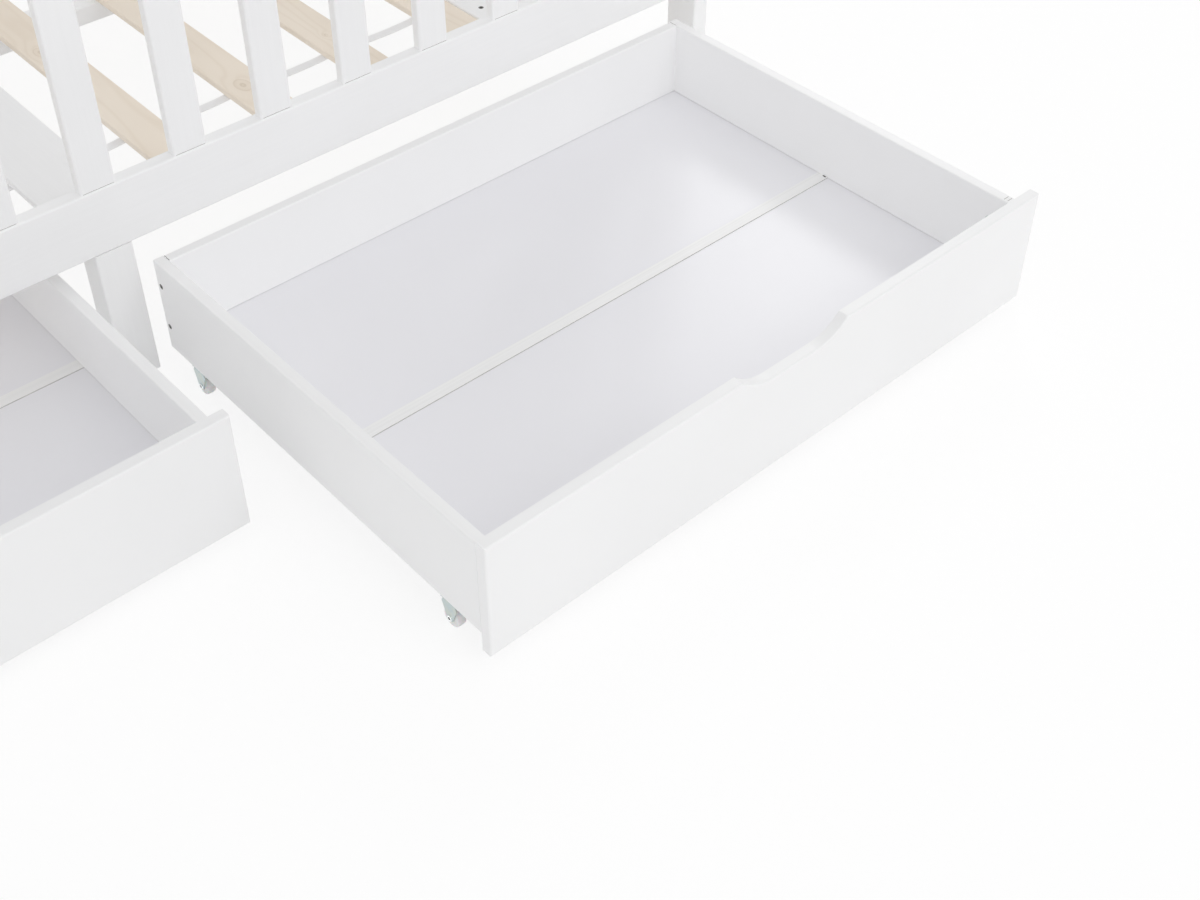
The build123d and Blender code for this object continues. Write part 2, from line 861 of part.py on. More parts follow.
def make_drawer(name, x_left, box_in, y_face):
    """Every piece of one drawer, with its front's left end at x_left and its face at y_face."""
    x_box = x_left + box_in
    save(drawer_front(x_left, x_box, y_face), f"{name}_front")
    save(drawer_side(x_box, y_face, False), f"{name}_side_left")
    save(drawer_side(x_box, y_face, True), f"{name}_side_right")
    save(drawer_back(x_box, y_face), f"{name}_back")
    front_panel, back_panel, strip = drawer_bottoms(x_box, y_face)
    save(front_panel, f"{name}_bottom_front")
    save(back_panel, f"{name}_bottom_back")
    save(strip, f"{name}_bottom_strip")
    both_sides = side_screws(x_box, y_face, False) + side_screws(x_box, y_face, True)
    save(screw_at(both_sides), f"{name}_screws")
    save(drawer_cams(x_box, y_face), f"{name}_cams")
    brackets, axles = [], []
    for place, right, depth in caster_spots:
        x_low = x_box + (box_long - board if right else 0)
        y_axle = y_face + depth
        brackets.append(caster_bracket(x_low, y_axle).part)
        axles.append(caster_axle(x_low, y_axle).part)
        save(caster_wheel(x_low, y_axle), f"{name}_wheel_{place}")
    with BuildPart() as bracket_set:
        for bracket in brackets:
            add(bracket)
    save(bracket_set, f"{name}_caster_brackets")
    with BuildPart() as axle_set:
        for axle in axles:
            add(axle)
    save(axle_set, f"{name}_caster_axles")


right_drawer_x = centre_leg_wide / 2 + gap_right_drawer
left_drawer_x = -centre_leg_wide / 2 - gap_left_drawer - drawer_long
make_drawer("right_drawer", right_drawer_x, box_in_right_drawer, bed_front - pull_right)
make_drawer("left_drawer", left_drawer_x, box_in_left_drawer, bed_front - pull_left)
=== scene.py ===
# %% [markdown]
# # A white storage bed with two drawers on casters
# The bed's boards, rails, drawers and casters come from the imported model, at their real size.
# This lesson lights them, gives every surface a procedural finish, and adds the small things that
# are too fine for the model: sagging ribbons, staples, rivet lips, the painted shade in screw
# recesses and bores, the hairlines of the joints in their shadow tone and the fitting at one
# corner.

from math import pi, radians

import bmesh
import bpy
from mathutils import Matrix, Vector


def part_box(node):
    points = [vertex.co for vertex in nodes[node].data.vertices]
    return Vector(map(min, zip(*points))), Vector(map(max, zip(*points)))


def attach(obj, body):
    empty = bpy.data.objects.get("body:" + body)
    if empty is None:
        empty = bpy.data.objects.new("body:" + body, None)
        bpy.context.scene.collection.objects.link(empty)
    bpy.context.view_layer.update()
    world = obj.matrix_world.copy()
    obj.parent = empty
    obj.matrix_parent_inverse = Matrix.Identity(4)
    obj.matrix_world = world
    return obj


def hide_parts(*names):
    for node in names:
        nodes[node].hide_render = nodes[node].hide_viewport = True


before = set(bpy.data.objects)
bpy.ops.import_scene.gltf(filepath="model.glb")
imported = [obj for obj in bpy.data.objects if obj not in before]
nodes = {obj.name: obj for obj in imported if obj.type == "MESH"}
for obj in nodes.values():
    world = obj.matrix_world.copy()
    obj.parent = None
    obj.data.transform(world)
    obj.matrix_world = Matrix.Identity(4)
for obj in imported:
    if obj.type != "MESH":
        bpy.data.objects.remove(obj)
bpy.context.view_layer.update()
MM = 0.001

# %% [markdown]
# ## Camera
# The photographer stood at the left front corner and looked down over the open drawer. A camera
# could be moved by hand until it looks right, but the vanishing points of the drawer and the
# rails give its angles and its lens outright. The lens shift stands for a photo that was
# cropped: its optical axis isn't in the middle of the frame.

# %% Place the camera
camera_data = bpy.data.cameras.new("photo_camera")
camera_data.sensor_width = 36.0
camera_data.lens = 48.38
camera_data.shift_x = -0.0023
camera_data.shift_y = -0.0834
camera = bpy.data.objects.new("photo_camera", camera_data)
camera.location = (-0.6110, -1.7424, 1.3821)
camera.rotation_euler = (radians(49.281), radians(-0.264), radians(-42.210))
bpy.context.scene.collection.objects.link(camera)
bpy.context.scene.camera = camera
print("camera at", tuple(round(v, 3) for v in camera.location))

# %% [markdown]
# ## Node helpers
# Every finish here is a small node tree. `add_node` makes one node and fills its inputs in a
# single call: a number or colour goes on the socket, and an output socket is linked to it. The
# patterns read Object coordinates, so they need no unwrapping and ride with their piece.


# %% Helpers for node trees
def add_node(tree, kind, inputs=None, **settings):
    """A new node of this kind, with its settings and its inputs filled or linked."""
    node = tree.nodes.new(kind)
    for name, value in settings.items():
        setattr(node, name, value)
    for key, value in (inputs or {}).items():
        if isinstance(value, bpy.types.NodeSocket):
            tree.links.new(value, node.inputs[key])
        else:
            node.inputs[key].default_value = value
    return node


def new_finish(name, constants):
    """A new material with its shader's constant sockets set: returns it, its tree and shader."""
    material = bpy.data.materials.new(name)
    material.use_nodes = True
    tree = material.node_tree
    shader = tree.nodes["Principled BSDF"]
    for socket, value in constants.items():
        shader.inputs[socket].default_value = value
    return material, tree, shader


def place(tree, scale=(1.0, 1.0, 1.0), turn=(0.0, 0.0, 0.0)):
    """Object coordinates, scaled and turned: where a pattern lies on the bed."""
    coordinates = add_node(tree, "ShaderNodeTexCoord")
    mapping = add_node(
        tree,
        "ShaderNodeMapping",
        {"Vector": coordinates.outputs["Object"], "Scale": scale, "Rotation": turn},
    )
    return mapping.outputs["Vector"]


def noise(tree, vector, scale, detail=2.0, roughness=0.5):
    """A soft random value from 0 to 1."""
    node = add_node(
        tree,
        "ShaderNodeTexNoise",
        {"Vector": vector, "Scale": scale, "Detail": detail, "Roughness": roughness},
    )
    return node.outputs["Fac"]


def ramp(tree, value, stops):
    """A colour ramp from (position, colour) stops."""
    node = add_node(tree, "ShaderNodeValToRGB", {"Fac": value})
    elements = node.color_ramp.elements
    while len(elements) < len(stops):
        elements.new(0.5)
    for element, (position, colour) in zip(elements, stops):
        element.position = position
        element.color = (*colour, 1.0)
    return node.outputs["Color"]


def math(tree, operation, a, b=0.0):
    """One sum on two values."""
    node = add_node(tree, "ShaderNodeMath", {0: a, 1: b}, operation=operation)
    return node.outputs["Value"]


def fade(tree, value, low, high, to_low=0.0, to_high=1.0):
    """Value mapped from low..high to to_low..to_high, held at the ends."""
    inputs = {
        "Value": value,
        "From Min": low,
        "From Max": high,
        "To Min": to_low,
        "To Max": to_high,
    }
    return add_node(tree, "ShaderNodeMapRange", inputs).outputs["Result"]


def mix(tree, factor, a, b, blend="MIX"):
    """Two colours mixed by a factor."""
    node = add_node(tree, "ShaderNodeMix", data_type="RGBA", blend_type=blend)
    for socket, value in ((node.inputs[0], factor), (node.inputs[6], a), (node.inputs[7], b)):
        if isinstance(value, bpy.types.NodeSocket):
            tree.links.new(value, socket)
        else:
            socket.default_value = (*value, 1.0) if isinstance(value, tuple) else value
    return node.outputs[2]


def bump(tree, shader, *layers):
    """Bump layers, each (height, strength, distance in metres), stacked into the shader."""
    normal = None
    for height, strength, distance in layers:
        inputs = {"Height": height, "Strength": strength, "Distance": distance}
        if normal is not None:
            inputs["Normal"] = normal
        normal = add_node(tree, "ShaderNodeBump", inputs).outputs["Normal"]
    tree.links.new(normal, shader.inputs["Normal"])


def two_tones(tree, shader, value, low, low_colour, high, high_colour):
    """Base colour that passes from one tone to another as value goes from low to high."""
    colour = ramp(tree, value, [(low, low_colour), (high, high_colour)])
    tree.links.new(colour, shader.inputs["Base Color"])


def uneven_gloss(tree, shader, value, low, high, smooth, rough):
    """Roughness that goes from smooth to rough as value goes from low to high."""
    tree.links.new(fade(tree, value, low, high, smooth, rough), shader.inputs["Roughness"])


# %% [markdown]
# ## White paint
# The frame is softwood under a sprayed satin paint. Close up, the paint has the faint dimples
# of a sprayed coat, and long low ridges where the grain below has swelled. A plain white would
# do from far off, but it looks like plastic up close. The ridges run along each board, so the
# rails, posts and end rails each get the paint with its grain turned.

# %% Paint over wood grain, and over fibreboard
PAINT_WHITE = (0.868, 0.868, 0.872)
PAINT_SHADE = (0.838, 0.838, 0.842)
GRAIN_ACROSS = 55.0
GRAIN_ALONG = 1.6
GRAIN_SHARE = 0.35
CLOUD_SHARE = 0.65


def painted_wood(name, along):
    """Satin white paint over softwood whose grain runs along axis 0, 1 or 2."""
    material, tree, shader = new_finish(name, {"Specular IOR Level": 0.45})
    stretch = [GRAIN_ACROSS] * 3
    stretch[along] = GRAIN_ALONG
    grain = noise(tree, place(tree, tuple(stretch)), 5.0, 6.0, 0.62)
    clouds = noise(tree, place(tree), 3.0, 3.0)
    dimples = noise(tree, place(tree), 900.0, 1.0)
    grain_part = math(tree, "MULTIPLY", grain, GRAIN_SHARE)
    cloud_part = math(tree, "MULTIPLY", clouds, CLOUD_SHARE)
    tint = math(tree, "ADD", grain_part, cloud_part)
    two_tones(tree, shader, tint, 0.35, PAINT_SHADE, 0.62, PAINT_WHITE)
    uneven_gloss(tree, shader, clouds, 0.3, 0.7, smooth=0.36, rough=0.46)
    bump(tree, shader, (grain, 0.10, 0.6 * MM), (dimples, 0.05, 0.3 * MM))
    return material


def painted_board():
    """Satin white paint over smooth fibreboard: no grain, only the dimples of the spray."""
    material, tree, shader = new_finish("white_board_paint", {"Specular IOR Level": 0.45})
    clouds = noise(tree, place(tree), 2.2, 3.0)
    dimples = noise(tree, place(tree), 1100.0, 1.0)
    ripple = noise(tree, place(tree), 38.0, 2.0)
    two_tones(tree, shader, clouds, 0.3, PAINT_SHADE, 0.65, PAINT_WHITE)
    uneven_gloss(tree, shader, clouds, 0.3, 0.7, smooth=0.34, rough=0.42)
    bump(tree, shader, (ripple, 0.04, 0.8 * MM), (dimples, 0.05, 0.3 * MM))
    return material


paint_along = [painted_wood(f"white_paint_along_{axis}", i) for i, axis in enumerate("xyz")]
board_paint = painted_board()
print("paints:", [m.name for m in paint_along], board_paint.name)

# %% [markdown]
# ## Bare pine
# The slats are planed pine, pale and a little grey. A plain-sawn board shows long growth lines
# that drift from side to side, and they swing round each knot. The Wave texture has no knots,
# so the lines are worked out here: a wave across the board, bent by noise that is stretched
# along it. Each knot is a few rings round one point, and the two that show best are set where
# a viewer sees them.

# %% Pine with growth lines and knots
PINE_PALE = (0.868, 0.784, 0.680)
PINE_MID = (0.818, 0.728, 0.620)
PINE_LINE = (0.700, 0.592, 0.468)
KNOT_DARK = (0.540, 0.430, 0.300)
# Each knot: its place along and across the bed in metres, and its radius
KNOTS = [
    (0.2888, -0.0429, 0.0100),
    (0.4465, -0.0060, 0.0035),
    (0.1280, 0.2150, 0.0080),
    (0.3010, 0.5480, 0.0060),
    (0.4480, 0.3120, 0.0110),
    (0.6010, 0.1450, 0.0070),
    (0.7700, 0.6900, 0.0090),
    (0.9260, 0.0640, 0.0060),
    (-0.1440, 0.4010, 0.0090),
    (-0.2860, 0.0250, 0.0070),
    (-0.4420, 0.6350, 0.0100),
    (-0.6150, 0.2400, 0.0060),
    (-0.7560, 0.0930, 0.0080),
    (-0.9120, 0.5010, 0.0100),
]
# A knot is longer along the board than across it, and this sets how close its rings are
KNOT_SQUEEZE = 0.62
KNOT_RINGS = 7.0
# The growth lines: their phase for each metre across and down, how much the drift and a knot
# bend it, the radians that it turns into, and the power that makes a line thin
PHASE_ACROSS = 120.0
PHASE_DOWN = 60.0
DRIFT_BEND = 26.0
KNOT_BEND = 4.5
LINE_RATE = 2.1
LINE_POWER = 3.0


def pine_wood():
    """Bare planed pine with its grain along Y."""
    material, tree, shader = new_finish("bare_pine", {"Specular IOR Level": 0.3})
    coordinates = place(tree)
    split = add_node(tree, "ShaderNodeSeparateXYZ", {"Vector": coordinates})
    x, y, z = (split.outputs[axis] for axis in "XYZ")
    drift = noise(tree, place(tree, (9.0, 1.3, 9.0)), 1.0, 3.0, 0.55)
    swing = 0.0
    rings = 0.0
    heart = 0.0
    for knot_x, knot_y, radius in KNOTS:
        dx = math(tree, "SUBTRACT", x, knot_x)
        dy = math(tree, "MULTIPLY", math(tree, "SUBTRACT", y, knot_y), KNOT_SQUEEZE)
        squares = math(tree, "ADD", math(tree, "MULTIPLY", dx, dx), math(tree, "MULTIPLY", dy, dy))
        far = math(tree, "DIVIDE", math(tree, "SQRT", squares), radius)
        near = fade(tree, far, 4.0, 0.6)
        swing = math(tree, "ADD", swing, math(tree, "MULTIPLY", near, near))
        ring = math(tree, "SINE", math(tree, "MULTIPLY", far, KNOT_RINGS))
        in_knot = fade(tree, far, 1.15, 0.95)
        rings = math(tree, "ADD", rings, math(tree, "MULTIPLY", in_knot, ring))
        heart = math(tree, "ADD", heart, in_knot)
    phase_x = math(tree, "MULTIPLY", x, PHASE_ACROSS)
    phase_z = math(tree, "MULTIPLY", z, PHASE_DOWN)
    across = math(tree, "ADD", phase_x, phase_z)
    drift_part = math(tree, "MULTIPLY", drift, DRIFT_BEND)
    knot_part = math(tree, "MULTIPLY", swing, KNOT_BEND)
    bend = math(tree, "ADD", drift_part, knot_part)
    phase = math(tree, "ADD", across, bend)
    wave = math(tree, "SINE", math(tree, "MULTIPLY", phase, LINE_RATE))
    lines = math(tree, "POWER", fade(tree, wave, -1.0, 1.0), LINE_POWER)
    fibres = noise(tree, place(tree, (420.0, 9.0, 420.0)), 1.0, 4.0, 0.6)
    blotches = noise(tree, place(tree, (11.0, 3.5, 11.0)), 1.0, 2.0)
    pale = ramp(tree, blotches, [(0.32, PINE_MID), (0.68, PINE_PALE)])
    with_lines = mix(tree, math(tree, "MULTIPLY", lines, 0.20), pale, PINE_LINE)
    with_fibres = mix(tree, fade(tree, fibres, 0.62, 0.85, 0.0, 0.22), with_lines, PINE_LINE)
    knotty = mix(tree, math(tree, "MULTIPLY", heart, 0.22), with_fibres, PINE_LINE)
    ringed = mix(tree, fade(tree, rings, 0.0, 1.0, 0.0, 0.38), knotty, KNOT_DARK)
    tree.links.new(ringed, shader.inputs["Base Color"])
    uneven_gloss(tree, shader, fibres, 0.3, 0.8, smooth=0.52, rough=0.66)
    bump(tree, shader, (fibres, 0.18, 0.5 * MM), (lines, 0.06, 0.4 * MM))
    return material


pine = pine_wood()
print("pine with", len(KNOTS), "knots")

# %% [markdown]
# ## Drawer bottoms, joining strip and ribbon
# The drawer bottoms are thin hardboard with a printed white face, which is cooler than the
# paint and a little glossier, and never quite flat, so that a lamp spreads into a soft patch.
# That waviness is a bump and not a shape, because it is far too low to show at an edge. The strip
# between them is extruded plastic with fine lines along it. The ribbon that keeps the slats apart
# is a plain weave of polyester, with threads too many to model one by one, and the low gaps
# between its threads are greyed as painted shade.

# %% Hardboard, strip and ribbon
THREAD_PITCH = 1.1 * MM
# The grey of the painted shade in the low gaps of the weave
THREAD_GAP_SHADE = (0.68, 0.68, 0.69)


def hardboard_face():
    """A smooth cool white face on thin hardboard, with a slow waviness."""
    material, tree, shader = new_finish("hardboard_face", {"Specular IOR Level": 0.5})
    clouds = noise(tree, place(tree), 1.7, 3.0)
    slow_wave = noise(tree, place(tree, (1.0, 1.6, 1.0)), 4.5, 1.0)
    grit = noise(tree, place(tree), 650.0, 2.0)
    two_tones(tree, shader, clouds, 0.3, (0.772, 0.769, 0.800), 0.7, (0.812, 0.810, 0.836))
    uneven_gloss(tree, shader, grit, 0.2, 0.8, smooth=0.30, rough=0.40)
    bump(tree, shader, (slow_wave, 0.25, 4.0 * MM), (grit, 0.05, 0.2 * MM))
    return material


def strip_plastic():
    """Off-white extruded plastic with fine lines along X."""
    material, tree, shader = new_finish("strip_plastic", {"Specular IOR Level": 0.5})
    lines = noise(tree, place(tree, (2.0, 900.0, 900.0)), 1.0, 2.0)
    two_tones(tree, shader, lines, 0.3, (0.800, 0.800, 0.798), 0.7, (0.862, 0.862, 0.860))
    uneven_gloss(tree, shader, lines, 0.3, 0.7, smooth=0.38, rough=0.50)
    bump(tree, shader, (lines, 0.2, 0.3 * MM))
    return material


def woven_ribbon():
    """A plain weave: two crossing waves make the raised threads, with painted shade in the gaps
    between.
    """
    material, tree, shader = new_finish(
        "woven_ribbon", {"Sheen Weight": 0.25, "Specular IOR Level": 0.25}
    )
    split = add_node(tree, "ShaderNodeSeparateXYZ", {"Vector": place(tree)})
    threads = 2 * pi / THREAD_PITCH
    over = math(tree, "SINE", math(tree, "MULTIPLY", split.outputs["X"], threads))
    under = math(tree, "SINE", math(tree, "MULTIPLY", split.outputs["Y"], threads))
    weave = fade(tree, math(tree, "MULTIPLY", over, under), -1.0, 1.0)
    wear = noise(tree, place(tree), 45.0, 3.0)
    cloth = ramp(tree, wear, [(0.3, (0.840, 0.838, 0.842)), (0.7, (0.880, 0.878, 0.882))])
    # Painted shade: the low gaps between the threads are mixed towards grey
    colour = mix(tree, fade(tree, weave, 0.0, 0.45, 0.35, 0.0), cloth, THREAD_GAP_SHADE)
    tree.links.new(colour, shader.inputs["Base Color"])
    uneven_gloss(tree, shader, wear, 0.3, 0.7, smooth=0.75, rough=0.85)
    bump(tree, shader, (weave, 0.5, 0.2 * MM))
    return material


hardboard = hardboard_face()
strip_white = strip_plastic()
ribbon_weave = woven_ribbon()
print("drawer bottoms and ribbon:", hardboard.name, strip_white.name, ribbon_weave.name)

# %% [markdown]
# ## Metal and nylon
# The caster forks are thin pressed steel with bright zinc on it, which is bluish with a trace of
# yellow-green where the passivation is thicker. One metal for all would look cast in one piece, so
# the rivets are polished and the wood screws are darker. A nearly black metal is painted shade: it
# stands for the dark depth of a bore, a screw's cross recess and the strip's open end. The wheels
# are nylon with no colour in it, so a little light goes into them.

# %% Zinc, dark steel and nylon
SCUFF_SPREAD = 0.14


def zinc_plate(name, bright, tint, rough):
    """Zinc on pressed steel, or another bare metal: a patchy tint and fine scuffs."""
    material, tree, shader = new_finish(name, {"Metallic": 1.0})
    patches = noise(tree, place(tree), 95.0, 3.0)
    scuffs = noise(tree, place(tree, (300.0, 2200.0, 300.0)), 1.0, 3.0)
    two_tones(tree, shader, patches, 0.35, bright, 0.70, tint)
    uneven_gloss(tree, shader, scuffs, 0.3, 0.7, smooth=rough, rough=rough + SCUFF_SPREAD)
    bump(tree, shader, (scuffs, 0.10, 0.1 * MM), (patches, 0.05, 0.3 * MM))
    return material


def nylon_wheel():
    """Natural nylon: greyish, smooth, and slightly translucent."""
    material, tree, shader = new_finish(
        "nylon",
        {"Subsurface Weight": 0.35, "Subsurface Scale": 0.004, "Specular IOR Level": 0.5},
    )
    clouds = noise(tree, place(tree), 130.0, 2.0)
    grime = noise(tree, place(tree), 700.0, 3.0)
    two_tones(tree, shader, clouds, 0.3, (0.720, 0.725, 0.725), 0.7, (0.810, 0.812, 0.805))
    uneven_gloss(tree, shader, grime, 0.3, 0.7, smooth=0.30, rough=0.42)
    bump(tree, shader, (grime, 0.06, 0.2 * MM))
    return material


zinc = zinc_plate("bright_zinc", (0.520, 0.600, 0.620), (0.600, 0.640, 0.590), 0.30)
rivet_bright = zinc_plate("polished_rivet", (0.900, 0.925, 0.925), (0.940, 0.950, 0.935), 0.16)
dark_steel = zinc_plate("dark_screw_steel", (0.130, 0.125, 0.120), (0.200, 0.190, 0.180), 0.34)
nylon = nylon_wheel()
# Painted shade: nearly black metal for the dark depth of bores, cross recesses and the strip's
# open end
recess_painted_shade = zinc_plate("recess_shadow", (0.010, 0.010, 0.010), (0.018, 0.018, 0.018), 0.60)
print("metals:", [metal.name for metal in (zinc, rivet_bright, dark_steel, recess_painted_shade)])

# %% [markdown]
# ## Give every board its finish
# Each node of the model keeps its mesh and gets a finish in its material slots. The paint on
# the frame goes by the direction of the board: rails along X, end rails along Y, posts, legs
# and uprights along Z. The names are gathered in lists and loops, so that no board is missed,
# and the last line prints any node that is left without a finish.

# %% Finishes by node
DRAWERS = ("right_drawer", "left_drawer")
ENDS = ("left_end", "right_end")
along_x = ["front_side_rail", "back_side_rail", "front_top_rail", "front_ledgers"]
along_x += ["back_ledgers", "centre_beam"]
along_y = ["tie_boards", "tie_board_blocks", "beam_end_cleats"]
along_y += [f"{end}_{rail}" for end in ENDS for rail in ("bottom_rail", "top_rail")]
upright = [name for name in nodes if name.startswith(("post_", "centre_leg_"))]
upright += [name for name in nodes if name.endswith("upright_slats")]

finish_of = {name: paint_along[0] for name in along_x}
finish_of.update({name: paint_along[1] for name in along_y})
finish_of.update({name: paint_along[2] for name in upright})
finish_of.update(
    pine_slats=pine,
    slat_ribbons=ribbon_weave,
    frame_bolts=zinc,
    barrel_nuts=zinc,
    frame_screws=dark_steel,
)
for drawer in DRAWERS:
    for board in ("front", "side_left", "side_right", "back"):
        finish_of[f"{drawer}_{board}"] = board_paint
    for panel in ("bottom_front", "bottom_back"):
        finish_of[f"{drawer}_{panel}"] = hardboard
    finish_of[f"{drawer}_bottom_strip"] = strip_white
    for metal in ("cams", "caster_brackets", "caster_axles"):
        finish_of[f"{drawer}_{metal}"] = zinc
    finish_of[f"{drawer}_screws"] = dark_steel
finish_of.update({name: nylon for name in nodes if "_wheel_" in name})

for name, finish in finish_of.items():
    mesh = nodes[name].data
    mesh.materials.clear()
    mesh.materials.append(finish)
unfinished = sorted(set(nodes) - set(finish_of))
print("nodes with a finish:", len(finish_of), "without:", unfinished)

# %% [markdown]
# ## Helpers for new pieces
# A new piece is a bmesh built from Blender's own shapes, written to one mesh in the bed's
# frame. Small things of one kind on one body share a piece, which is quicker than an object for
# each. It rides with the body that carries it.


# %% Turn a bmesh into a piece
def finish_piece(name, shape, finish, body):
    """Write a bmesh to a mesh, dress it and hang it on its body."""
    bmesh.ops.recalc_face_normals(shape, faces=shape.faces)
    mesh = bpy.data.meshes.new(name)
    shape.to_mesh(mesh)
    shape.free()
    mesh.materials.append(finish)
    piece = bpy.data.objects.new(name, mesh)
    bpy.context.scene.collection.objects.link(piece)
    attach(piece, body)
    print(name, "has", len(mesh.polygons), "faces on", body)
    return piece


def add_rod(shape, centre, axis, radius, length, segments=16, end_radius=None):
    """A closed rod or cone about centre, along axis, added to shape."""
    turn = Vector((0, 0, 1)).rotation_difference(Vector(axis)).to_matrix().to_4x4()
    bmesh.ops.create_cone(
        shape,
        cap_ends=True,
        segments=segments,
        radius1=radius,
        radius2=radius if end_radius is None else end_radius,
        depth=length,
        matrix=Matrix.Translation(centre) @ turn,
    )


def add_block(shape, centre, size):
    """A closed box about centre, added to shape: returns its vertices."""
    scale = Matrix.Diagonal((*size, 1.0))
    made = bmesh.ops.create_cube(shape, size=1.0, matrix=Matrix.Translation(centre) @ scale)
    return made["verts"]


# %% [markdown]
# ## Ribbons under the slats
# Two ribbons are stapled under the slats to keep them apart. Between two boards a ribbon hangs
# a couple of millimetres down. A cloth simulation could hang it, but the sag is a plain shallow
# curve, so a sum gives it at once: a long grid is cut fine along the bed, its points are lowered
# between the boards, and it gets its thickness last.

# %% Build the sagging ribbons
SLAT_FIRST = 136.0 * MM
SLAT_PITCH = 156.4 * MM
SLAT_WIDE = 57.0 * MM
TIE_WIDE = 94.0 * MM
TIE_PLACE = SLAT_FIRST + 3.5 * SLAT_PITCH
RIBBON_WIDE = 15.0 * MM
RIBBON_THICK = 0.8 * MM
RIBBON_SAG = 1.8 * MM
RIBBON_CUTS = 420

ribbon_low, ribbon_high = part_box("slat_ribbons")
slat_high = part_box("pine_slats")[1]
half_count = round((slat_high.x - SLAT_WIDE / 2 - SLAT_FIRST) / SLAT_PITCH) + 1
boards = [
    (side * (SLAT_FIRST + n * SLAT_PITCH), SLAT_WIDE / 2)
    for side in (-1, 1)
    for n in range(half_count)
]
boards += [(x, TIE_WIDE / 2) for x in (-TIE_PLACE, 0.0, TIE_PLACE)]
boards.sort()


def ribbon_drop(x):
    """How far the ribbon hangs below the boards at x: nothing under a board."""
    for (left, left_half), (right, right_half) in zip(boards, boards[1:]):
        gap_low, gap_high = left + left_half, right - right_half
        if gap_low < x < gap_high:
            share = (x - gap_low) / (gap_high - gap_low)
            return RIBBON_SAG * (1 - (2 * share - 1) ** 2)
    return 0.0


ribbons = bmesh.new()
ribbon_rows = (ribbon_low.y + RIBBON_WIDE / 2, ribbon_high.y - RIBBON_WIDE / 2)
length = ribbon_high.x - ribbon_low.x
for row_y in ribbon_rows:
    made = bmesh.ops.create_grid(ribbons, x_segments=RIBBON_CUTS, y_segments=2, size=0.5)
    for vert in made["verts"]:
        x = vert.co.x * length
        vert.co = Vector((x, row_y + vert.co.y * RIBBON_WIDE, ribbon_high.z - ribbon_drop(x)))
bmesh.ops.recalc_face_normals(ribbons, faces=ribbons.faces)
bmesh.ops.solidify(ribbons, geom=ribbons.faces[:], thickness=RIBBON_THICK)
lift = ribbon_high.z - max(v.co.z for v in ribbons.verts)
bmesh.ops.translate(ribbons, verts=ribbons.verts, vec=(0, 0, lift))
ribbon_piece = finish_piece("hanging_ribbons", ribbons, ribbon_weave, "bed_frame")
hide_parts("slat_ribbons")

# %% Staples that hold the ribbons to each board
STAPLE_LONG = 10 * MM
STAPLE_RADIUS = 0.45 * MM
STAPLE_UNDER = 0.3 * MM

staple_z = ribbon_high.z - RIBBON_THICK - STAPLE_UNDER
staples = bmesh.new()
for row_y in ribbon_rows:
    for x, _ in boards:
        add_rod(staples, (x, row_y, staple_z), (1, 0, 0), STAPLE_RADIUS, STAPLE_LONG, 8)
finish_piece("ribbon_staples", staples, zinc, "bed_frame")

# %% [markdown]
# ## Casters up close
# The wheel's axle is a hollow rivet, so each end is a rolled lip round a bore, whose dark depth is
# painted shade: a thin disc of nearly black metal. A bmesh has no ready-made torus, so a lip is a
# small circle spun about the axle. Two pan-head screws hold the fork's plate to the drawer's side,
# above the wheel.

# %% Rivet lips, painted bore shade and plate screws
FORK_WIDE = 15.0 * MM
RIVET_HEAD_THICK = 0.9 * MM
HEAD_OUT = FORK_WIDE / 2 + RIVET_HEAD_THICK
LIP_RADIUS = 0.9 * MM
LIP_OUT = 3.0 * MM
LIP_SUNK = 0.2 * MM
LIP_STEPS = 20
BORE_THICK = 0.1 * MM
BORE_OUT = 0.3 * MM
PLATE_UNDER = 38.8 * MM
PLATE_SCREW_APART = 24.0 * MM
PLATE_SCREW_HIGH = 1.4 * MM
PLATE_SCREW_RADIUS = 2.8 * MM
PLATE_SCREW_FACE = 1.9 * MM


def wheel_centres(drawer):
    """The middle of each of the drawer's wheels, where its axle passes."""
    boxes = [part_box(name) for name in nodes if name.startswith(f"{drawer}_wheel_")]
    return [(low + high) / 2 for low, high in boxes]


def edges_of(verts):
    """The edges that meet these vertices, each once."""
    return list({edge for vert in verts for edge in vert.link_edges})


def add_lip(shape, face, centre):
    """A rolled lip on the rivet's head: a small upright circle spun about the axle."""
    start = Matrix.Translation(face + Vector((0, 0, LIP_OUT)))
    upright_circle = Matrix.Rotation(pi / 2, 4, "X")
    ring = bmesh.ops.create_circle(
        shape, segments=8, radius=LIP_RADIUS, matrix=start @ upright_circle
    )
    bmesh.ops.spin(
        shape,
        geom=ring["verts"] + edges_of(ring["verts"]),
        cent=centre,
        axis=(1, 0, 0),
        angle=2 * pi,
        steps=LIP_STEPS,
        use_merge=True,
    )


def add_plate_screw(shape, seat):
    """A pan head under the plate, narrower at its face."""
    middle = seat - Vector((0, 0, PLATE_SCREW_HIGH / 2))
    down = (0, 0, -1)
    add_rod(
        shape, middle, down, PLATE_SCREW_RADIUS, PLATE_SCREW_HIGH, end_radius=PLATE_SCREW_FACE
    )


